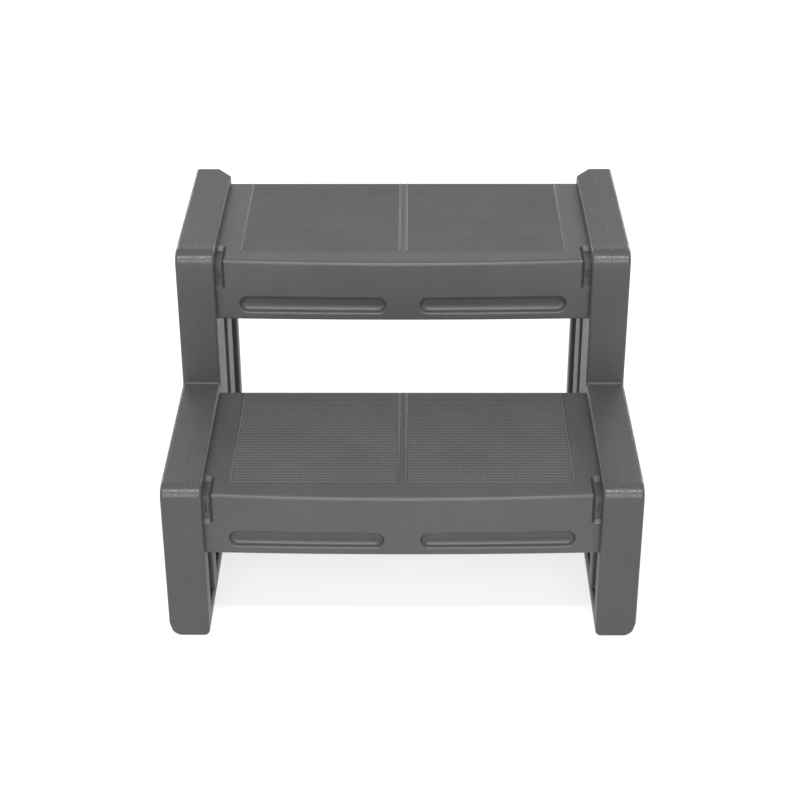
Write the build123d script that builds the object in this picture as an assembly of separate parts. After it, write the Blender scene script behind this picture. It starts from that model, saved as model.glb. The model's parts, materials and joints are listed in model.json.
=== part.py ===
from build123d import *
from math import cos, radians, sin
import os

# Free-standing two-tread step for a spa or pool, in millimetres.
# Two hollow blow-moulded side frames carry two identical hollow treads, bolted through their ends.
# X runs across the step, Y from its front to its rear and Z up.
# The origin is on the ground, under the middle of the outline.

# Overall sizes
OVERALL_WIDTH = 620.0
OVERALL_DEPTH = 590.0
RISE = 200.0
RUN = 282.0
LOWER_RAIL_TOP = 230.0
WALL = 3.2

# Side frames
FRAME_THICKNESS = 53.0
FOOT_PROUD = 0.6
RAIL_NOSE_RADIUS = 19.0
STEP_CORNER_RADIUS = 3.0
FRAME_EDGE_RADIUS = 4.0
BASE_OUTER_WIDTH = 12.5
BASE_OUTER_HEIGHT = 20.0
BASE_OUTER_RADIUS = 11.0
BASE_INNER_RADIUS = 7.0
REAR_CORNER_LENGTH = 27.0
REAR_CORNER_WIDTH = 19.0
FLUTE_DEPTH = 14.0
FLUTE_CORNER_RADIUS = 7.0
FLUTE_FLOOR_RADIUS = 4.0
FLUTE_LIP_RADIUS = 3.0
FLUTE_BASE = 23.0
FLUTE_TOP_BELOW_RAIL = 70.0
# Front and rear edge of each flute, measured back from the front of the step
LOWER_FLUTES = [(35.0, 80.0), (116.0, 175.0), (211.0, 256.0)]
UPPER_FLUTES = [(370.0, 408.0), (467.0, 537.0)]
FIELD_MARGIN = 14.0
FIELD_DEPTH = 3.0
FIELD_CORNER_RADIUS = 12.0
FIELD_LIP_RADIUS = 1.2
DRAIN_HOLE_RADIUS = 4.0

# Treads, measured from the front of their own tier and from their own top face
TREAD_DROP = 14.0
TREAD_REAR = 283.5
TREAD_HEIGHT = 90.0
SLAB_THICKNESS = 38.0
FASCIA_REAR = 36.0
NOSE_SETBACK = 2.0
NOSE_BOW = 10.9
FASCIA_FOOT_SETBACK = 7.0
FASCIA_FOOT_BOW = 4.7
NOSING_RADIUS = 5.5
TREAD_EDGE_RADIUS = 3.0
TREAD_INNER_RADIUS = 10.0
GROOVE_LENGTH = 200.5
GROOVE_HEIGHT = 22.0
GROOVE_CENTRE_X = 124.25
GROOVE_CENTRE_DROP = 67.0
GROOVE_DEPTH = 9.0
GROOVE_LIP_RADIUS = 3.0
GROOVE_FLOOR_RADIUS = 5.8
NOTCH_WIDTH = 13.0
NOTCH_DEPTH = 6.0
NOTCH_TAPER = 38.0
NOTCH_FRONT = 11.2
NOTCH_REAR = 58.0
NOTCH_DROP = 45.0
NOTCH_END_RADIUS = 6.0
NOTCH_OVERRUN = 10.0
PIP_X = 252.0
PIP_RADIUS = 2.4
PIP_LENGTH = 9.0
PIP_DROP = 22.0
PIP_SINK = 0.4
CHANNEL_LENGTH = 410.0
CHANNEL_WIDTH = 34.0
CHANNEL_DEPTH = 26.0
CHANNEL_END_RADIUS = 16.0
CHANNEL_ROOF_RADIUS = 6.0
CHANNEL_CENTRES = [80.0, 155.0, 230.0]
VENT_RADIUS = 3.0
RIB_COUNT = 34
RIB_PITCH = 7.0
RIB_FIRST = 44.5
RIB_RADIUS = 3.2
RIB_HEIGHT = 0.8
RIB_ROOT = 1.0
BORDER_INNER_X = 5.0
BORDER_OUTER_X = 223.0
BORDER_RADIUS = 1.6
BORDER_HEIGHT = 1.2
BORDER_GAP = 0.8

# Tread bolts, measured from the tread in the same way
BOLT_SETBACKS = [70.0, 225.0]
BOLT_DROP = 20.0
BOLT_RADIUS = 4.0
BOLT_LENGTH = 30.0
BOLT_HEAD_RADIUS = 7.5
BOLT_HEAD_HEIGHT = 5.0
BOLT_SOCKET_ACROSS_FLATS = 5.0
BOLT_SOCKET_DEPTH = 3.0
BOLT_HOLE_RADIUS = 4.3
BOLT_RECESS_RADIUS = 13.0
BOLT_RECESS_FLOOR = 8.0
WASHER_RADIUS = 11.0
WASHER_THICKNESS = 1.6
INSERT_RADIUS = 6.0
INSERT_LENGTH = 22.0
INSERT_GROOVE_DEPTH = 0.7
INSERT_GROOVE_WIDTH = 2.5
INSERT_BOSS_RADIUS = 10.0
FIT_CLEARANCE = 0.05
CAP_RADIUS = 15.0
CAP_THICKNESS = 2.2
CAP_SKIRT_LENGTH = 9.0
CAP_SKIRT_WALL = 1.8
CAP_CLEARANCE = 0.2

# Foot pads and their rivets
FOOT_LENGTH = 62.0
FOOT_WIDTH = 30.0
FOOT_THICKNESS = 5.0
FOOT_CORNER_RADIUS = 8.0
FOOT_EDGE_CHAMFER = 0.8
FOOT_CLEARANCE = 0.3
FOOT_MARGIN = 60.0
FOOT_GROOVE_COUNT = 5
FOOT_GROOVE_PITCH = 6.0
FOOT_GROOVE_WIDTH = 2.0
FOOT_GROOVE_DEPTH = 0.8
RIVET_SPACING = 44.0
RIVET_HEAD_RADIUS = 5.0
RIVET_HEAD_THICKNESS = 1.6
RIVET_SINK = 1.4
RIVET_SHANK_RADIUS = 2.4
RIVET_TIP = 17.0
RIVET_BOSS_RADIUS = 6.0

# Working values: how far tools run past what they cut, and how nearly tangent two faces may be
OVERRUN = 1.0
TANGENT_COSINE = 0.99

# Places worked out from the sizes above
UPPER_RAIL_TOP = LOWER_RAIL_TOP + RISE
FRONT_Y = -OVERALL_DEPTH / 2
REAR_Y = OVERALL_DEPTH / 2
RISER_Y = FRONT_Y + RUN
OUTER_X = OVERALL_WIDTH / 2
INNER_X = OUTER_X - FRAME_THICKNESS
FIELD_X = OUTER_X - FIELD_DEPTH
FRAME_MIDDLE_X = (INNER_X + OUTER_X) / 2
BASE_TURNS = [0.0, radians(45), radians(90)]
BOLT_SEAT_X = INNER_X + BOLT_RECESS_FLOOR
BOLT_HEAD_X = BOLT_SEAT_X + WASHER_THICKNESS
TREAD_TOPS = {"lower": LOWER_RAIL_TOP - TREAD_DROP, "upper": UPPER_RAIL_TOP - TREAD_DROP}
TREAD_FRONTS = {"lower": FRONT_Y, "upper": RISER_Y}
FOOT_CENTRES = {"front": FRONT_Y + FOOT_MARGIN, "rear": REAR_Y - FOOT_MARGIN}


def near(a, b, tolerance=0.01):
    return abs(a - b) < tolerance


def edges_where(shape, test):
    """The edges of a shape whose middle point passes a test."""
    return [edge for edge in shape.edges() if test(edge @ 0.5)]


def sharp_edges(shape):
    """The edges where two faces meet at an angle, leaving out the seams of tangent faces."""
    faces_at = {}
    for face in shape.faces():
        for edge in face.edges():
            faces_at.setdefault(edge, []).append(face)
    sharp = []
    for edge, faces in faces_at.items():
        normals = [face.normal_at(edge @ 0.5) for face in faces]
        if len(normals) == 2 and normals[0].dot(normals[1]) < TANGENT_COSINE:
            sharp.append(edge)
    return sharp


def facing_east(x, y=0.0, z=0.0):
    """A plane that faces +X, with Y and Z as its own directions."""
    return Plane(origin=(x, y, z), x_dir=(0, 1, 0), z_dir=(1, 0, 0))


def rod(radius, x_from, x_to, y=0.0, z=0.0):
    """A cylinder along X between two stations."""
    return extrude(facing_east(x_from, y, z) * Circle(radius), x_to - x_from)


# ---------------------------------------------------------------- side frames


def stepped_outline(inset, nose_radius, step_radius):
    """The stepped side outline in Y-Z, drawn a distance inside the frame's outer surface."""
    front = FRONT_Y + inset
    rear = REAR_Y - inset
    riser = RISER_Y + inset
    base = FOOT_PROUD + inset
    lower = LOWER_RAIL_TOP - inset
    upper = UPPER_RAIL_TOP - inset
    corners = [(front, base), (rear, base), (rear, upper), (riser, upper), (riser, lower), (front, lower)]
    face = make_face(Polyline(*corners, close=True))
    nose_places = [(front, lower), (riser, upper)]
    noses = [v for v in face.vertices() if any(near(v.X, y) and near(v.Y, z) for y, z in nose_places)]
    face = fillet(noses, nose_radius)
    step = [v for v in face.vertices() if near(v.X, riser) and near(v.Y, lower)]
    return fillet(step, step_radius)


def frame_section():
    """The frame's upright cross-section: flat sides on a base with eased corners, in X-Z."""
    height = UPPER_RAIL_TOP - FOOT_PROUD
    flat_end = OUTER_X - BASE_OUTER_WIDTH
    eased = [(flat_end + BASE_OUTER_WIDTH * sin(t), BASE_OUTER_HEIGHT * (1 - cos(t))) for t in BASE_TURNS]
    section = make_face(Polyline((INNER_X, height), (INNER_X, 0), *eased, (OUTER_X, height), close=True))
    outer_foot = [v for v in section.vertices() if v.X > INNER_X + OVERRUN and v.Y < height - OVERRUN]
    section = fillet(outer_foot, BASE_OUTER_RADIUS)
    inner_foot = section.vertices().sort_by(Axis.X)[:2].sort_by(Axis.Y)[0]
    return fillet(inner_foot, BASE_INNER_RADIUS)


def frame_block(inset):
    """The right side frame as a stepped block with a rounded base, drawn inside its outer surface."""
    outline = stepped_outline(inset, RAIL_NOSE_RADIUS - inset, STEP_CORNER_RADIUS + inset)
    side = extrude(facing_east(INNER_X + inset) * outline, FRAME_THICKNESS - 2 * inset)
    section = frame_section()
    if inset:
        section = offset(section, -inset)
    front = Plane(origin=(0, FRONT_Y, FOOT_PROUD), x_dir=(1, 0, 0), z_dir=(0, -1, 0))
    return side & extrude(front * section, -OVERALL_DEPTH)


def rear_corner(grow):
    """What the bevelled inner rear corner takes off the block."""
    slope = REAR_CORNER_LENGTH / REAR_CORNER_WIDTH
    corner = (INNER_X - OVERRUN, REAR_Y + slope * OVERRUN)
    inner_end = (INNER_X - OVERRUN, REAR_Y - REAR_CORNER_LENGTH - slope * OVERRUN)
    rear_end = (INNER_X + REAR_CORNER_WIDTH + OVERRUN, REAR_Y + slope * OVERRUN)
    outline = make_face(Polyline(inner_end, rear_end, corner, close=True))
    if grow:
        outline = offset(outline, grow, kind=Kind.INTERSECTION)
    return extrude(outline, UPPER_RAIL_TOP + OVERRUN)


def flute(y_from, y_to, top, grow):
    """One vertical groove in the inner face, grown by a distance on every side."""
    width = y_to - y_from + 2 * grow
    height = top - FLUTE_BASE + 2 * grow
    centre = Pos((y_from + y_to) / 2 + FRONT_Y, (FLUTE_BASE + top) / 2)
    outline = centre * RectangleRounded(width, height, FLUTE_CORNER_RADIUS + grow)
    groove = extrude(facing_east(INNER_X) * outline, FLUTE_DEPTH + grow)
    floor = edges_where(groove, lambda p: near(p.X, INNER_X + FLUTE_DEPTH + grow))
    return fillet(floor, FLUTE_FLOOR_RADIUS + grow)


def flutes(grow):
    lower = [flute(*span, LOWER_RAIL_TOP - FLUTE_TOP_BELOW_RAIL, grow) for span in LOWER_FLUTES]
    upper = [flute(*span, UPPER_RAIL_TOP - FLUTE_TOP_BELOW_RAIL, grow) for span in UPPER_FLUTES]
    return lower + upper


def outer_field(grow):
    """The shallow stepped recess in the outer face."""
    outline = stepped_outline(FIELD_MARGIN - grow, FIELD_CORNER_RADIUS, FIELD_CORNER_RADIUS)
    base_and_rear = [v for v in outline.vertices() if v.Y < FOOT_PROUD + FIELD_MARGIN + OVERRUN]
    base_and_rear += outline.vertices().sort_by(Axis.X)[-2:].sort_by(Axis.Y)[-1:]
    outline = fillet(base_and_rear, FIELD_CORNER_RADIUS)
    return extrude(facing_east(OUTER_X) * outline, -(FIELD_DEPTH + grow))


def bolt_places():
    """Y and Z of every tread bolt."""
    heights = {tier: top - BOLT_DROP for tier, top in TREAD_TOPS.items()}
    return [(TREAD_FRONTS[tier] + setback, z) for tier, z in heights.items() for setback in BOLT_SETBACKS]


def foot_pocket(y, grow):
    """The seat of one foot pad, grown by a distance on every side."""
    width = FOOT_WIDTH + 2 * FOOT_CLEARANCE + 2 * grow
    length = FOOT_LENGTH + 2 * FOOT_CLEARANCE + 2 * grow
    outline = Pos(FRAME_MIDDLE_X, y) * RectangleRounded(width, length, FOOT_CORNER_RADIUS + grow)
    return extrude(outline, FOOT_THICKNESS + grow)


def rivet_places(foot_y):
    return [foot_y - RIVET_SPACING / 2, foot_y + RIVET_SPACING / 2]


def post(radius, y, z_to):
    """A cylinder that stands on the ground plane under the middle of the frame."""
    return extrude(Pos(FRAME_MIDDLE_X, y) * Circle(radius), z_to)


def frame_cavity():
    """The hollow inside the moulding, leaving the walls, the bolt tubes and the rivet bosses."""
    cavity = frame_block(WALL) - rear_corner(WALL)
    cavity -= flutes(WALL)
    cavity -= outer_field(WALL)
    for y, z in bolt_places():
        cavity -= rod(CAP_RADIUS + WALL, INNER_X, OUTER_X, y, z)
    for foot_y in FOOT_CENTRES.values():
        cavity -= foot_pocket(foot_y, WALL)
        for y in rivet_places(foot_y):
            cavity -= post(RIVET_BOSS_RADIUS, y, RIVET_TIP + 2 * WALL)
    return cavity


def inside_outline(p):
    """True away from the stepped outline, where only the flutes and the outer field have edges."""
    clear = 2 * FRAME_EDGE_RADIUS
    rail_top = LOWER_RAIL_TOP if p.Y < RISER_Y + clear else UPPER_RAIL_TOP
    return FOOT_PROUD + clear < p.Z < rail_top - clear and FRONT_Y + clear < p.Y < REAR_Y - clear


def rounded_lips(frame, x, radius):
    """The frame with the mouths of the recesses in its face at one X station rounded."""
    middles = [(edge, edge @ 0.5) for edge in sharp_edges(frame)]
    return fillet([edge for edge, p in middles if near(p.X, x) and inside_outline(p)], radius)


def side_frame():
    """The right side frame: a hollow stepped moulding with bolt recesses, flutes and foot pockets."""
    frame = frame_block(0) - rear_corner(0)
    frame = fillet(sharp_edges(frame), FRAME_EDGE_RADIUS)
    frame -= flutes(0)
    frame -= outer_field(0)
    frame = rounded_lips(frame, INNER_X, FLUTE_LIP_RADIUS)
    frame = rounded_lips(frame, OUTER_X, FIELD_LIP_RADIUS)
    frame -= frame_cavity()
    for y, z in bolt_places():
        frame -= rod(BOLT_HOLE_RADIUS, INNER_X, OUTER_X, y, z)
        frame -= rod(BOLT_RECESS_RADIUS, BOLT_SEAT_X, OUTER_X, y, z)
        frame -= rod(CAP_RADIUS + CAP_CLEARANCE, FIELD_X - CAP_THICKNESS, OUTER_X, y, z)
    for foot_y in FOOT_CENTRES.values():
        frame -= foot_pocket(foot_y, 0)
        for y in rivet_places(foot_y):
            frame -= post(RIVET_SHANK_RADIUS + FIT_CLEARANCE, y, RIVET_TIP + OVERRUN)
    return frame - post(DRAIN_HOLE_RADIUS, 0, FOOT_PROUD + 2 * WALL)


# ---------------------------------------------------------------------- treads
# A tread is drawn with Y = 0 at the front of its tier and Z = 0 at its top face.


def tread_plan(setback, bow, inset, end_inset):
    """Plan outline with a straight rear edge and a front edge that bows forwards."""
    half = INNER_X - end_inset
    middle = setback + inset
    corner = middle + bow
    rear = TREAD_REAR - inset
    front = ThreePointArc((-half, corner), (0, middle), (half, corner))
    back = Polyline((half, corner), (half, rear), (-half, rear), (-half, corner))
    return make_face(Wire([*front.edges(), *back.edges()]))


def tread_block(inset, end_inset):
    """Slab and fascia as one block, without the space behind the fascia."""
    foot = tread_plan(FASCIA_FOOT_SETBACK, FASCIA_FOOT_BOW, inset, end_inset)
    top = tread_plan(NOSE_SETBACK, NOSE_BOW, inset, end_inset)
    return loft([Pos(0, 0, inset - TREAD_HEIGHT) * foot, Pos(0, 0, -inset) * top], ruled=True)


def tread_underside(grow):
    """The space under the slab and behind the fascia."""
    length = 2 * (INNER_X + OVERRUN)
    front = FASCIA_REAR - grow
    top = grow - SLAB_THICKNESS
    space = Box(length, TREAD_REAR, TREAD_HEIGHT, align=(Align.CENTER, Align.MIN, Align.MAX))
    space = Pos(0, front, top) * space
    inner_edge = edges_where(space, lambda p: near(p.Y, front) and near(p.Z, top))
    return fillet(inner_edge, TREAD_INNER_RADIUS - grow)


def facing_front(y):
    """A plane that faces the front, with X and Z as its own directions."""
    return Plane(origin=(0, y, 0), x_dir=(1, 0, 0), z_dir=(0, -1, 0))


def fascia_groove(side, grow):
    """One long rounded groove in the fascia, whose floor follows the fascia's curve."""
    slot = SlotOverall(GROOVE_LENGTH + 2 * grow, GROOVE_HEIGHT + 2 * grow)
    outline = Pos(side * GROOVE_CENTRE_X, -GROOVE_CENTRE_DROP) * slot
    groove = extrude(facing_front(0) * outline, -FASCIA_REAR) - tread_block(GROOVE_DEPTH + grow, 0)
    if grow:
        return groove
    floor = edges_where(groove, lambda p: p.Y > GROOVE_DEPTH + OVERRUN)
    return fillet(floor, GROOVE_FLOOR_RADIUS)


def notch_pocket(plane, end, reach, grow):
    """A pocket with sloping walls, sunk into a plane beside one end of the tread."""
    width = 2 * (NOTCH_WIDTH + grow)
    length = reach + grow + NOTCH_OVERRUN
    mouth = Pos(end * INNER_X, length / 2 - NOTCH_OVERRUN) * Rectangle(width, length)
    mouth = fillet(mouth.vertices().sort_by(Axis.Y)[-2:], NOTCH_END_RADIUS + grow)
    return extrude(plane * mouth, NOTCH_DEPTH + grow, taper=NOTCH_TAPER)


def corner_notch(side, grow):
    """The relief that wraps from the tread's top over its front at one end."""
    down = Plane(origin=(0, NOTCH_FRONT, 0), x_dir=(-1, 0, 0), z_dir=(0, 0, -1))
    back = Plane(origin=(0, NOTCH_FRONT, 0), x_dir=(1, 0, 0), z_dir=(0, 1, 0))
    top = notch_pocket(down, -side, NOTCH_REAR - NOTCH_FRONT, grow)
    front = notch_pocket(back, side, NOTCH_DROP, grow)
    return top + front


def notch_pip(side):
    """The small upright pip that stands on the floor of a corner notch."""
    pip = Cylinder(PIP_RADIUS, PIP_LENGTH)
    for end in (-1, 1):
        pip += Pos(0, 0, end * PIP_LENGTH / 2) * Sphere(PIP_RADIUS)
    return Pos(side * PIP_X, NOTCH_FRONT + NOTCH_DEPTH + PIP_SINK, -PIP_DROP) * pip


def channels(grow):
    """The stiffening channels in the underside of the slab."""
    depth = CHANNEL_DEPTH + grow
    length = CHANNEL_LENGTH + 2 * grow
    outline = RectangleRounded(length, CHANNEL_WIDTH + 2 * grow, CHANNEL_END_RADIUS)
    channel = extrude(outline, depth)
    roof = edges_where(channel, lambda p: near(p.Z, depth))
    channel = fillet(roof, CHANNEL_ROOF_RADIUS + grow)
    return [Pos(0, y, -SLAB_THICKNESS) * channel for y in CHANNEL_CENTRES]


def ribs():
    """The low round anti-slip ribs in one panel each side of the middle, with a bead down each end."""
    inner_end = BORDER_INNER_X + BORDER_RADIUS + BORDER_GAP
    outer_end = BORDER_OUTER_X - BORDER_RADIUS - BORDER_GAP
    rib = rod(RIB_RADIUS, inner_end, outer_end, 0, RIB_HEIGHT - RIB_RADIUS)
    length = outer_end - inner_end
    keep = Box(length, 2 * RIB_RADIUS, 2 * RIB_RADIUS, align=(Align.MIN, Align.CENTER, Align.MIN))
    rib &= Pos(inner_end, 0, -RIB_ROOT) * keep
    places = [Pos(0, RIB_FIRST + RIB_PITCH * i) for i in range(RIB_COUNT)]
    panel = [place * rib for place in places]
    panel_length = RIB_PITCH * RIB_COUNT
    bead = Cylinder(BORDER_RADIUS, panel_length, rotation=(90, 0, 0))
    for end in (-1, 1):
        bead += Pos(0, end * panel_length / 2) * Sphere(BORDER_RADIUS)
    middle = RIB_FIRST + RIB_PITCH * (RIB_COUNT - 1) / 2
    bead = Pos(0, middle, BORDER_HEIGHT - BORDER_RADIUS) * bead
    panel += [Pos(x, 0, 0) * bead for x in (BORDER_INNER_X, BORDER_OUTER_X)]
    return panel + [mirror(piece, about=Plane.YZ) for piece in panel]


def tread():
    """One hollow moulded tread with its fascia grooves, corner notches, channels and ribs."""
    body = tread_block(0, 0) - tread_underside(0)
    nosing = edges_where(body, lambda p: near(p.Z, 0) and p.Y < FASCIA_REAR and abs(p.X) < 1)
    body = fillet(nosing, NOSING_RADIUS)
    long_edges = [edge for edge in sharp_edges(body) if edge.length > 2 * INNER_X - OVERRUN]
    body = fillet(long_edges, TREAD_EDGE_RADIUS)
    cavity = tread_block(WALL, WALL) - tread_underside(WALL) - channels(WALL)
    for side in (-1, 1):
        body -= fascia_groove(side, 0)
        cavity -= fascia_groove(side, WALL)
        cavity -= corner_notch(side, WALL)
        for y in BOLT_SETBACKS:
            boss_end = side * (INNER_X - INSERT_LENGTH - 2 * WALL)
            cavity -= rod(INSERT_BOSS_RADIUS, side * INNER_X, boss_end, y, -BOLT_DROP)
    body -= channels(0)
    lips = [edge for edge in sharp_edges(body) if on_groove_lip(edge @ 0.5)]
    body = fillet(lips, GROOVE_LIP_RADIUS)
    for side in (-1, 1):
        body -= corner_notch(side, 0)
        body += notch_pip(side)
    body -= cavity
    for side in (-1, 1):
        for y in BOLT_SETBACKS:
            reach = side * (INNER_X - INSERT_LENGTH - OVERRUN)
            body -= rod(INSERT_RADIUS + FIT_CLEARANCE, side * INNER_X, reach, y, -BOLT_DROP)
    vent = Pos(0, FASCIA_REAR / 2 + NOSE_SETBACK, -TREAD_HEIGHT) * Cylinder(VENT_RADIUS, 4 * WALL)
    return body - vent + ribs()


def on_groove_lip(p):
    """True for the mouths of the fascia grooves, which lie in the fascia's curved face."""
    half = GROOVE_HEIGHT / 2 + OVERRUN
    across = abs(abs(p.X) - GROOVE_CENTRE_X) < GROOVE_LENGTH / 2 + OVERRUN
    return across and abs(p.Z + GROOVE_CENTRE_DROP) < half and p.Y < NOSE_SETBACK + NOSE_BOW


# -------------------------------------------------------------------- hardware
# The hardware of the right-hand joints. The left-hand joints use mirror images.


def bolt():
    """Socket-head bolt, pointing along -X, with Y = Z = 0 on its axis."""
    shank = rod(BOLT_RADIUS - FIT_CLEARANCE, BOLT_HEAD_X - BOLT_LENGTH, BOLT_HEAD_X)
    shank = chamfer(edges_where(shank, lambda p: near(p.X, BOLT_HEAD_X - BOLT_LENGTH)), BOLT_RADIUS / 5)
    head_top = BOLT_HEAD_X + BOLT_HEAD_HEIGHT
    head = rod(BOLT_HEAD_RADIUS, BOLT_HEAD_X, head_top)
    head = fillet(edges_where(head, lambda p: near(p.X, head_top)), BOLT_HEAD_HEIGHT / 3)
    socket = RegularPolygon(BOLT_SOCKET_ACROSS_FLATS / 2, 6, major_radius=False)
    return head + shank - extrude(facing_east(head_top) * socket, -BOLT_SOCKET_DEPTH)


def washer():
    disc = rod(WASHER_RADIUS, BOLT_SEAT_X, BOLT_HEAD_X)
    return disc - rod(BOLT_HOLE_RADIUS, BOLT_SEAT_X, BOLT_HEAD_X)


def insert():
    """Threaded brass insert, with two retaining grooves round it."""
    inner_end = INNER_X - INSERT_LENGTH
    sleeve = rod(INSERT_RADIUS, inner_end, INNER_X)
    for third in (1, 2):
        start = inner_end + third * INSERT_LENGTH / 3 - INSERT_GROOVE_WIDTH / 2
        band = rod(INSERT_RADIUS + OVERRUN, start, start + INSERT_GROOVE_WIDTH)
        sleeve -= band - rod(INSERT_RADIUS - INSERT_GROOVE_DEPTH, start, start + INSERT_GROOVE_WIDTH)
    return sleeve - rod(BOLT_RADIUS, inner_end, INNER_X)


def cap():
    """Push-in cap that closes a bolt recess flush with the outer field."""
    seat = FIELD_X - CAP_THICKNESS
    disc = rod(CAP_RADIUS, seat, FIELD_X)
    disc = fillet(edges_where(disc, lambda p: near(p.X, FIELD_X)), CAP_THICKNESS / 3)
    skirt_radius = BOLT_RECESS_RADIUS - CAP_CLEARANCE
    skirt = rod(skirt_radius, seat - CAP_SKIRT_LENGTH, seat)
    return disc + (skirt - rod(skirt_radius - CAP_SKIRT_WALL, seat - CAP_SKIRT_LENGTH, seat))


def foot(y):
    """Rubber pad with cross grooves and two countersinks for its rivets."""
    pad = extrude(RectangleRounded(FOOT_WIDTH, FOOT_LENGTH, FOOT_CORNER_RADIUS), FOOT_THICKNESS)
    pad = chamfer(edges_where(pad, lambda p: near(p.Z, 0)), FOOT_EDGE_CHAMFER)
    for i in range(FOOT_GROOVE_COUNT):
        groove_y = (i - (FOOT_GROOVE_COUNT - 1) / 2) * FOOT_GROOVE_PITCH
        pad -= Pos(0, groove_y) * Box(FOOT_WIDTH, FOOT_GROOVE_WIDTH, 2 * FOOT_GROOVE_DEPTH)
    sink_depth = RIVET_SINK + RIVET_HEAD_THICKNESS
    for rivet_y in rivet_places(0):
        pad -= Pos(0, rivet_y) * Cylinder(RIVET_HEAD_RADIUS + FIT_CLEARANCE, 2 * sink_depth)
        pad -= Pos(0, rivet_y) * Cylinder(RIVET_SHANK_RADIUS + FIT_CLEARANCE, 2 * FOOT_THICKNESS + OVERRUN)
    return Pos(FRAME_MIDDLE_X, y) * pad


def rivet(y):
    """Push rivet with a flat head and a tapered tip, standing in its boss."""
    stand = (Align.CENTER, Align.CENTER, Align.MIN)
    head = Pos(0, 0, RIVET_SINK) * Cylinder(RIVET_HEAD_RADIUS, RIVET_HEAD_THICKNESS, align=stand)
    shank = Pos(0, 0, RIVET_SINK) * Cylinder(RIVET_SHANK_RADIUS, RIVET_TIP - RIVET_SINK, align=stand)
    shank = chamfer(edges_where(shank, lambda p: near(p.Z, RIVET_TIP)), RIVET_SHANK_RADIUS / 2)
    return Pos(FRAME_MIDDLE_X, y) * (head + shank)


# -------------------------------------------------------------------- assembly


def save(name, solids):
    node = Compound(label=name, children=solids) if len(solids) > 1 else solids[0]
    node.label = name
    export_step(node, f"parts/{name}.step")


def main():
    os.makedirs("parts", exist_ok=True)
    sides = {"right": lambda solid: solid, "left": lambda solid: mirror(solid, about=Plane.YZ)}
    right_frame = side_frame()
    tread_solid = tread()
    joint_parts = {"bolts": bolt(), "washers": washer(), "inserts": insert(), "caps": cap()}
    for side, place in sides.items():
        save(f"{side}_side_frame", [place(right_frame)])
        for end, y in FOOT_CENTRES.items():
            save(f"{end}_{side}_foot", [place(foot(y))])
            save(f"{end}_{side}_foot_rivets", [place(rivet(rivet_y)) for rivet_y in rivet_places(y)])
    for tier, top in TREAD_TOPS.items():
        save(f"{tier}_tread", [Pos(0, TREAD_FRONTS[tier], top) * tread_solid])
        bolt_spots = [(TREAD_FRONTS[tier] + setback, top - BOLT_DROP) for setback in BOLT_SETBACKS]
        for side, place in sides.items():
            for kind, solid in joint_parts.items():
                save(f"{tier}_{side}_tread_{kind}", [place(Pos(0, y, z) * solid) for y, z in bolt_spots])


main()
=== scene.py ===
import json
import math

import bmesh
import bpy
from mathutils import Matrix, Vector


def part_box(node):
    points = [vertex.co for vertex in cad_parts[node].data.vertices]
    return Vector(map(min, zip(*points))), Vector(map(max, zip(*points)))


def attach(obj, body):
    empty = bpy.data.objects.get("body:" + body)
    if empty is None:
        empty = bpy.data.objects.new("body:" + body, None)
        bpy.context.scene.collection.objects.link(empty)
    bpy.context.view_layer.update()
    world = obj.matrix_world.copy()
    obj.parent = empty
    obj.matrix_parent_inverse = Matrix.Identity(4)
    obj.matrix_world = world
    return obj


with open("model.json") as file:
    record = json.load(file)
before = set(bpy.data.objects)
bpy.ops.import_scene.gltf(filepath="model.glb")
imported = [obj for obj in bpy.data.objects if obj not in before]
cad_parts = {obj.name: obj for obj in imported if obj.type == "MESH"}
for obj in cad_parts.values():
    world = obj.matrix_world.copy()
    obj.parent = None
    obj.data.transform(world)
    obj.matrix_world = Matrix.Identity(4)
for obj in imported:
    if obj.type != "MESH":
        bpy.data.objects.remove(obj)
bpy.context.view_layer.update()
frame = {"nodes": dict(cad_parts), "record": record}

# ------------------------------------------------------------------ driving values
# Lengths are in metres, angles in degrees, lamp powers in watts, and noise scales in cycles
# per metre.

# The photograph's camera.
CAMERA_PLACE = (0.0135, -2.2692, 1.4678)
CAMERA_PITCH = 29.258
CAMERA_YAW = 0.456
CAMERA_ROLL = 0.201
CAMERA_LENS = 82.32
CAMERA_SENSOR = 36.0

# The stage: a pale floor that glows a little, a white sky and soft area lamps.
FLOOR_SIZE = 60.0
FLOOR_GREY = 0.36
FLOOR_GLOW = 0.72
FLOOR_ROUGHNESS = 0.9
FLOOR_SPECULAR = 0.1
SKY_STRENGTH = 0.80
LIGHT_TARGET = (0.0, 0.0, 0.2)
KEY = {"place": (0.0, -1.3, 2.4), "size": (2.0, 0.24), "power": 43.0}
FRONT_FILL = {"place": (0.0, -3.0, 2.0), "size": (3.4, 2.0), "power": 4.0}
CAMERA_FILL = {"place": (0.0, -2.8, 1.65), "size": (2.4, 1.4), "power": 50.0}
SIDE_STRIP = {"place": (2.2, 0.3, 1.6), "size": (0.8, 1.8), "power": 8.0}
REAR_STRIP = {"place": (1.5, 2.4, 0.9), "size": (1.4, 0.7), "power": 12.0}

# Every material: the range that most noise values lie in, and bump heights taken in metres.
NOISE_LOW = 0.3
NOISE_HIGH = 0.7
BUMP_DISTANCE = 1.0
BUMP_STRENGTH = 1.0

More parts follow.
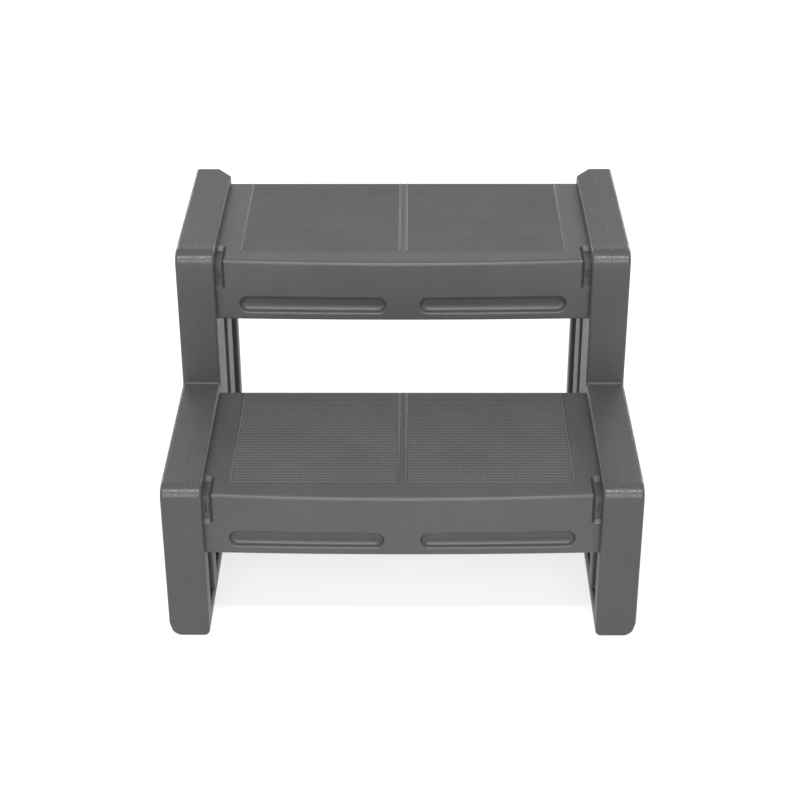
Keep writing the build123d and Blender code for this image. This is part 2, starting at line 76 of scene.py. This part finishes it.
# The grey moulded plastics. A roughness is a (smoothest, roughest) pair.
FRAME_GREY = 0.0485
FRAME_STREAK_HEIGHT = 0.00016
FRAME_WAVE_HEIGHT = 0.00013
FRAME_ROUGHNESS = (0.40, 0.56)
TREAD_GREY = 0.057
TREAD_STREAK_HEIGHT = 0.00001
TREAD_WAVE_HEIGHT = 0.00006
TREAD_ROUGHNESS = (0.31, 0.41)
CAP_GREY = FRAME_GREY * 0.9
CAP_STREAK_HEIGHT = 0.0
CAP_WAVE_HEIGHT = 0.00010
CAP_ROUGHNESS = (0.34, 0.50)
PLASTIC_SPECULAR = 0.38
GREY_SPREAD = 0.12
BLUE_LIFT = 0.005
MOTTLE_SCALE = 9.0
STREAK_SCALE = 260.0
STREAK_STRETCH = (1.0, 0.035, 0.035)
STREAK_BREAKUP = 0.62
WAVE_SCALE = 210.0
WAVE_STRETCH = (1.0, 0.7, 0.7)
WAVE_BREAKUP = 0.6
GRAIN_SCALE = 2600.0
GRAIN_HEIGHT = 0.00002
STREAKS_IN_TONE = 0.45
WAVES_IN_GLOSS = 0.65
GLOSS_LOW = 0.35
GLOSS_HIGH = 0.65

# The rail noses, rubbed smoother than the rest in uneven patches.
NOSE_RADIUS = 0.019
POLISH_MARGIN = 0.0005
POLISH_REACH = 0.007
POLISH = 0.6
POLISH_LEAST = 0.25
PATCH_LOW = 0.88
PATCH_HIGH = 1.12

# The other materials, each with a (dark, light) pair of colours.
RUBBER_COLOURS = ((0.016, 0.016, 0.016), (0.035, 0.034, 0.032))
RUBBER_SPECULAR = 0.3
RUBBER_ROUGHNESS = (0.7, 0.92)
RUBBER_DUST_SCALE = 60.0
RUBBER_GRAIN_SCALE = 1800.0
RUBBER_GRAIN_HEIGHT = 0.0002
NYLON_COLOURS = ((0.022, 0.022, 0.022), (0.04, 0.04, 0.04))
NYLON_ROUGHNESS = (0.28, 0.45)
NYLON_SHEEN_SCALE = 400.0
NYLON_GRAIN_SCALE = 2500.0
NYLON_GRAIN_HEIGHT = 0.00005
METAL_MARK_HEIGHT = 0.00004
METAL_SMOOTHEST = 0.75
METAL_ROUGHEST = 1.3
BOLT_STEEL = {
    "colours": ((0.5, 0.5, 0.49), (0.66, 0.66, 0.64)),
    "roughness": 0.3,
    "scale": 900.0,
    "stretch": (0.1, 1.0, 1.0),
}
WASHER_STEEL = {
    "colours": ((0.52, 0.52, 0.5), (0.68, 0.68, 0.66)),
    "roughness": 0.34,
    "scale": 500.0,
    "stretch": (1.0, 1.0, 1.0),
}
INSERT_BRASS = {
    "colours": ((0.6, 0.42, 0.16), (0.78, 0.58, 0.27)),
    "roughness": 0.32,
    "scale": 1200.0,
    "stretch": (1.0, 0.2, 0.2),
}

# The parting lines: low ridges whose crest is a share of their width, with skirts sunk in the wall.
SEAM_HALF_WIDTH = 0.0008
SEAM_CREST = 0.45
SEAM_HEIGHT = 0.00010
SEAM_SINK = 0.0006
SEAM_END_HEIGHT = 0.03
SEAM_PROBE = 0.007
WELD_DISTANCE = 1e-5


# ------------------------------------------------------------------ node helpers


def new_material(name, specular=0.5, metallic=0.0):
    """A new material, its node tree and its Principled shader."""
    material = bpy.data.materials.new(name)
    material.use_nodes = True
    shader = material.node_tree.nodes["Principled BSDF"]
    shader.inputs["Specular IOR Level"].default_value = specular
    shader.inputs["Metallic"].default_value = metallic
    return material, material.node_tree, shader


def position(tree, scale=(1.0, 1.0, 1.0)):
    """Object coordinates in metres, stretched by a scale on each axis."""
    coordinates = tree.nodes.new("ShaderNodeTexCoord")
    mapping = tree.nodes.new("ShaderNodeMapping")
    mapping.inputs["Scale"].default_value = scale
    tree.links.new(coordinates.outputs["Object"], mapping.inputs["Vector"])
    return mapping.outputs["Vector"]


def noise(tree, scale, stretch=(1.0, 1.0, 1.0), detail=3.0, breakup=0.5):
    """A noise value between 0 and 1."""
    made = tree.nodes.new("ShaderNodeTexNoise")
    made.inputs["Scale"].default_value = scale
    made.inputs["Detail"].default_value = detail
    made.inputs["Roughness"].default_value = breakup
    tree.links.new(position(tree, stretch), made.inputs["Vector"])
    return made.outputs["Fac"]


def remap(tree, value, from_range, to_range):
    """A value carried from one (low, high) range to another, and held inside it."""
    made = tree.nodes.new("ShaderNodeMapRange")
    for key, number in zip(("From Min", "From Max", "To Min", "To Max"), (*from_range, *to_range)):
        made.inputs[key].default_value = number
    tree.links.new(value, made.inputs["Value"])
    return made.outputs["Result"]


def combine(tree, operation, a, b):
    """The result of a maths operation on two values, each a number or a node's output."""
    made = tree.nodes.new("ShaderNodeMath")
    made.operation = operation
    for socket, value in zip(made.inputs, (a, b)):
        if isinstance(value, (int, float)):
            socket.default_value = value
        else:
            tree.links.new(value, socket)
    return made.outputs["Value"]


def mixed(tree, a, b, share_of_b):
    """Two values added together in shares that make up 1."""
    part_a = combine(tree, "MULTIPLY", a, 1 - share_of_b)
    part_b = combine(tree, "MULTIPLY", b, share_of_b)
    return combine(tree, "ADD", part_a, part_b)


def set_colour(tree, shader, value, dark, light):
    """Makes the base colour run from dark to light as a value goes from 0 to 1."""
    ramp = tree.nodes.new("ShaderNodeValToRGB")
    ramp.color_ramp.elements[0].color = (*dark, 1)
    ramp.color_ramp.elements[1].color = (*light, 1)
    tree.links.new(value, ramp.inputs["Fac"])
    tree.links.new(ramp.outputs["Color"], shader.inputs["Base Color"])


def set_roughness(tree, shader, value, roughness):
    """Makes the roughness run over a (smoothest, roughest) pair with a noise value."""
    spread = remap(tree, value, (NOISE_LOW, NOISE_HIGH), roughness)
    tree.links.new(spread, shader.inputs["Roughness"])


def set_bump(tree, shader, height):
    made = tree.nodes.new("ShaderNodeBump")
    made.inputs["Distance"].default_value = BUMP_DISTANCE
    made.inputs["Strength"].default_value = BUMP_STRENGTH
    tree.links.new(height, made.inputs["Height"])
    tree.links.new(made.outputs["Normal"], shader.inputs["Normal"])


# ------------------------------------------------------------------ materials


def nose_axes():
    """The (y, z) places of the axes of the lower and upper rail noses."""
    frame_low, frame_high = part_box("left_side_frame")
    lower_low, lower_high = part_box("lower_tread")
    upper_low, upper_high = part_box("upper_tread")
    run = upper_low[1] - lower_low[1]
    rise = upper_high[2] - lower_high[2]
    upper = (frame_low[1] + run + NOSE_RADIUS, frame_high[2] - NOSE_RADIUS)
    return ((upper[0] - run, upper[1] - rise), upper)


def nose_mask(tree):
    """1 on the rounded noses of the rails, falling to 0 round them."""
    split = tree.nodes.new("ShaderNodeSeparateXYZ")
    tree.links.new(position(tree), split.inputs["Vector"])
    distances = []
    for y, z in nose_axes():
        across = combine(tree, "SUBTRACT", split.outputs["Y"], y)
        upward = combine(tree, "SUBTRACT", split.outputs["Z"], z)
        across_squared = combine(tree, "MULTIPLY", across, across)
        upward_squared = combine(tree, "MULTIPLY", upward, upward)
        squared = combine(tree, "ADD", across_squared, upward_squared)
        distances.append(combine(tree, "POWER", squared, 0.5))
    nearest = combine(tree, "MINIMUM", *distances)
    fade = (NOSE_RADIUS + POLISH_MARGIN, NOSE_RADIUS + POLISH_REACH)
    return remap(tree, nearest, fade, (1.0, 0.0))


def rubbed_smooth(tree, finish, streaks, waves):
    """A roughness lowered in patches on the rail noses, where feet and hands rub them."""
    pattern = combine(tree, "ADD", streaks, waves)
    patches = remap(tree, pattern, (PATCH_LOW, PATCH_HIGH), (POLISH_LEAST, 1.0))
    polish = combine(tree, "MULTIPLY", nose_mask(tree), patches)
    kept = remap(tree, polish, (0.0, 1.0), (1.0, 1.0 - POLISH))
    return combine(tree, "MULTIPLY", finish, kept)


def tinted(grey, share):
    """A grey at a share of its lightness, a little cooler than neutral."""
    return (grey * share, grey * share, grey * (share + BLUE_LIFT))


def moulded_plastic(name, grey, streak_height, wave_height, roughness, polished=False):
    """Blow-moulded polyethylene: soft mottling, streaks drawn along the wall, waves and grain."""
    material, tree, shader = new_material(name, specular=PLASTIC_SPECULAR)
    mottle = noise(tree, MOTTLE_SCALE, detail=4.0)
    streaks = noise(tree, STREAK_SCALE, STREAK_STRETCH, detail=4.0, breakup=STREAK_BREAKUP)
    waves = noise(tree, WAVE_SCALE, WAVE_STRETCH, breakup=WAVE_BREAKUP)
    grain = noise(tree, GRAIN_SCALE, detail=2.0)
    tone = mixed(tree, mottle, streaks, STREAKS_IN_TONE)
    shade = remap(tree, tone, (NOISE_LOW, NOISE_HIGH), (0.0, 1.0))
    set_colour(tree, shader, shade, tinted(grey, 1 - GREY_SPREAD), tinted(grey, 1 + GREY_SPREAD))
    gloss = mixed(tree, streaks, waves, WAVES_IN_GLOSS)
    finish = remap(tree, gloss, (GLOSS_LOW, GLOSS_HIGH), roughness)
    if polished:
        finish = rubbed_smooth(tree, finish, streaks, waves)
    tree.links.new(finish, shader.inputs["Roughness"])
    relief = combine(tree, "MULTIPLY", grain, GRAIN_HEIGHT)
    for pattern, height in ((streaks, streak_height), (waves, wave_height)):
        relief = combine(tree, "ADD", relief, combine(tree, "MULTIPLY", pattern, height))
    set_bump(tree, shader, relief)
    return material


def black_rubber():
    """Matt rubber with dust in its pores."""
    material, tree, shader = new_material("foot_rubber", specular=RUBBER_SPECULAR)
    dust = noise(tree, RUBBER_DUST_SCALE, detail=5.0)
    grain = noise(tree, RUBBER_GRAIN_SCALE)
    set_colour(tree, shader, dust, *RUBBER_COLOURS)
    set_roughness(tree, shader, dust, RUBBER_ROUGHNESS)
    set_bump(tree, shader, combine(tree, "MULTIPLY", grain, RUBBER_GRAIN_HEIGHT))
    return material


def nylon():
    """Black nylon with an uneven sheen."""
    material, tree, shader = new_material("rivet_plastic")
    sheen = noise(tree, NYLON_SHEEN_SCALE)
    grain = noise(tree, NYLON_GRAIN_SCALE)
    set_colour(tree, shader, sheen, *NYLON_COLOURS)
    set_roughness(tree, shader, sheen, NYLON_ROUGHNESS)
    set_bump(tree, shader, combine(tree, "MULTIPLY", grain, NYLON_GRAIN_HEIGHT))
    return material


def metal(name, colours, roughness, scale, stretch):
    """Turned or rolled metal, with fine marks stretched along one direction."""
    material, tree, shader = new_material(name, metallic=1.0)
    marks = noise(tree, scale, stretch, detail=4.0)
    set_colour(tree, shader, marks, *colours)
    finish = (roughness * METAL_SMOOTHEST, roughness * METAL_ROUGHEST)
    set_roughness(tree, shader, marks, finish)
    set_bump(tree, shader, combine(tree, "MULTIPLY", marks, METAL_MARK_HEIGHT))
    return material


materials = {
    "frame_plastic": moulded_plastic(
        "frame_plastic",
        FRAME_GREY,
        FRAME_STREAK_HEIGHT,
        FRAME_WAVE_HEIGHT,
        FRAME_ROUGHNESS,
        polished=True,
    ),
    "tread_plastic": moulded_plastic(
        "tread_plastic",
        TREAD_GREY,
        TREAD_STREAK_HEIGHT,
        TREAD_WAVE_HEIGHT,
        TREAD_ROUGHNESS,
    ),
    "cap_plastic": moulded_plastic(
        "cap_plastic",
        CAP_GREY,
        CAP_STREAK_HEIGHT,
        CAP_WAVE_HEIGHT,
        CAP_ROUGHNESS,
    ),
    "foot_rubber": black_rubber(),
    "rivet_plastic": nylon(),
    "bolt_steel": metal("bolt_steel", **BOLT_STEEL),
    "washer_steel": metal("washer_steel", **WASHER_STEEL),
    "insert_brass": metal("insert_brass", **INSERT_BRASS),
}


def finish_cad_nodes():
    """Gives every CAD node the material of its slot."""
    slots = {part["node"]: part["material_slot"] for part in frame["record"]["subparts"]}
    for name, cad in frame["nodes"].items():
        cad.data.materials.clear()
        cad.data.materials.append(materials[slots[name]])


# ------------------------------------------------------------------ parting lines


def section_loops(cad, x):
    """The closed outlines, as ordered (y, z) points, where a CAD node crosses an upright plane."""
    cut = bmesh.new()
    cut.from_mesh(cad.data)
    cut.transform(cad.matrix_world)
    bmesh.ops.bisect_plane(
        cut,
        geom=cut.verts[:] + cut.edges[:] + cut.faces[:],
        plane_co=(x, 0, 0),
        plane_no=(1, 0, 0),
        clear_inner=True,
        clear_outer=True,
    )
    bmesh.ops.remove_doubles(cut, verts=cut.verts[:], dist=WELD_DISTANCE)
    loops = []
    unused = dict.fromkeys(cut.verts)
    while unused:
        vert = next(iter(unused))
        loop = []
        while vert:
            del unused[vert]
            loop.append((vert.co.y, vert.co.z))
            linked = [edge.other_vert(vert) for edge in vert.link_edges]
            vert = next((other for other in linked if other in unused), None)
        loops.append(loop)
    cut.free()
    return loops


def depth(outline):
    """How far an outline reaches from front to back."""
    return max(y for y, z in outline) - min(y for y, z in outline)


def seam_route(cad, x):
    """The points of a frame's outer outline above its base, from front foot to rear foot."""
    outline = max(section_loops(cad, x), key=depth)
    low = [z < SEAM_END_HEIGHT for y, z in outline]
    start = next(i for i in range(len(outline)) if low[i - 1] and not low[i])
    turned = outline[start:] + outline[:start]
    above = [point for point in turned if point[1] >= SEAM_END_HEIGHT]
    if above[0][0] > above[-1][0]:
        above.reverse()
    return [(above[0][0], SEAM_END_HEIGHT), *above, (above[-1][0], SEAM_END_HEIGHT)]


def parting_line(side):
    """The fine raised seam that the mould's two halves leave round the middle of a side frame."""
    frame_name = f"{side}_side_frame"
    low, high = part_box(frame_name)
    middle = (low[0] + high[0]) / 2
    route = seam_route(frame["nodes"][frame_name], middle + SEAM_PROBE)
    profile = [
        (-1, -SEAM_SINK),
        (-1, 0),
        (-SEAM_CREST, SEAM_HEIGHT),
        (SEAM_CREST, SEAM_HEIGHT),
        (1, 0),
        (1, -SEAM_SINK),
    ]
    seam = bmesh.new()
    rings = []
    for i, (y, z) in enumerate(route):
        before = Vector(route[max(i - 1, 0)])
        after = Vector(route[min(i + 1, len(route) - 1)])
        along = (after - before).normalized()
        ring = []
        for across, out in profile:
            place = (middle + SEAM_HALF_WIDTH * across, y - along[1] * out, z + along[0] * out)
            ring.append(seam.verts.new(place))
        rings.append(ring)
    for ring, following in zip(rings, rings[1:]):
        for i in range(len(profile)):
            j = (i + 1) % len(profile)
            seam.faces.new((ring[i], ring[j], following[j], following[i]))
    seam.faces.new(rings[0])
    seam.faces.new(rings[-1][::-1])
    bmesh.ops.recalc_face_normals(seam, faces=seam.faces[:])
    mesh = bpy.data.meshes.new(f"{side}_parting_line")
    seam.to_mesh(mesh)
    seam.free()
    mesh.materials.append(materials["frame_plastic"])
    piece = bpy.data.objects.new(f"{side}_parting_line", mesh)
    bpy.context.collection.objects.link(piece)
    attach(piece, "root")


# ------------------------------------------------------------------ stage, lights and camera


def floor():
    """A plain pale floor, far wider than the view."""
    half = FLOOR_SIZE / 2
    corners = [(-half, -half, 0), (half, -half, 0), (half, half, 0), (-half, half, 0)]
    mesh = bpy.data.meshes.new("floor")
    mesh.from_pydata(corners, [], [(0, 1, 2, 3)])
    plane = bpy.data.objects.new("floor", mesh)
    bpy.context.collection.objects.link(plane)
    material, _, shader = new_material("floor_white", specular=FLOOR_SPECULAR)
    shader.inputs["Roughness"].default_value = FLOOR_ROUGHNESS
    shader.inputs["Base Color"].default_value = (FLOOR_GREY, FLOOR_GREY, FLOOR_GREY, 1)
    shader.inputs["Emission Color"].default_value = (1, 1, 1, 1)
    shader.inputs["Emission Strength"].default_value = FLOOR_GLOW
    mesh.materials.append(material)


def area_light(name, place, size, power, side=1):
    """A softbox that faces the step. Side -1 mirrors its place to the left."""
    data = bpy.data.lights.new(name, "AREA")
    data.shape = "RECTANGLE"
    data.size, data.size_y = size
    data.energy = power
    lamp = bpy.data.objects.new(name, data)
    bpy.context.collection.objects.link(lamp)
    lamp.location = (side * place[0], place[1], place[2])
    aim = Vector(LIGHT_TARGET) - lamp.location
    lamp.rotation_euler = aim.to_track_quat("-Z", "Y").to_euler()


def studio():
    """A white sky, a key over the front, two front fills, and strips at the sides and behind."""
    world = bpy.data.worlds.new("studio")
    bpy.context.scene.world = world
    world.use_nodes = True
    sky = world.node_tree.nodes["Background"]
    sky.inputs["Color"].default_value = (1.0, 1.0, 1.0, 1)
    sky.inputs["Strength"].default_value = SKY_STRENGTH
    area_light("key", **KEY)
    area_light("front_fill", **FRONT_FILL)
    area_light("camera_fill", **CAMERA_FILL)
    for side in (-1, 1):
        area_light(f"side_strip_{side}", **SIDE_STRIP, side=side)
        area_light(f"rear_strip_{side}", **REAR_STRIP, side=side)


def camera():
    """The photograph's camera: looking down at the front of the step, a little from the right."""
    pitch = math.radians(CAMERA_PITCH)
    yaw = math.radians(CAMERA_YAW)
    roll = math.radians(CAMERA_ROLL)
    right = Vector((math.cos(yaw), math.sin(yaw), 0))
    level = Vector((-math.sin(yaw), math.cos(yaw), 0))
    up = Vector((0, 0, 1))
    forward = math.cos(pitch) * level - math.sin(pitch) * up
    down = -math.cos(pitch) * up - math.sin(pitch) * level
    turned_right = math.cos(roll) * right + math.sin(roll) * down
    turned_down = -math.sin(roll) * right + math.cos(roll) * down
    data = bpy.data.cameras.new("photo_view")
    data.lens = CAMERA_LENS
    data.sensor_width = CAMERA_SENSOR
    eye = bpy.data.objects.new("photo_view", data)
    bpy.context.collection.objects.link(eye)
    axes = Matrix((turned_right, -turned_down, -forward)).transposed()
    eye.matrix_world = Matrix.Translation(CAMERA_PLACE) @ axes.to_4x4()
    bpy.context.scene.camera = eye


finish_cad_nodes()
for side_name in ("left", "right"):
    parting_line(side_name)
floor()
studio()
camera()
bpy.context.scene.view_settings.view_transform = "Standard"
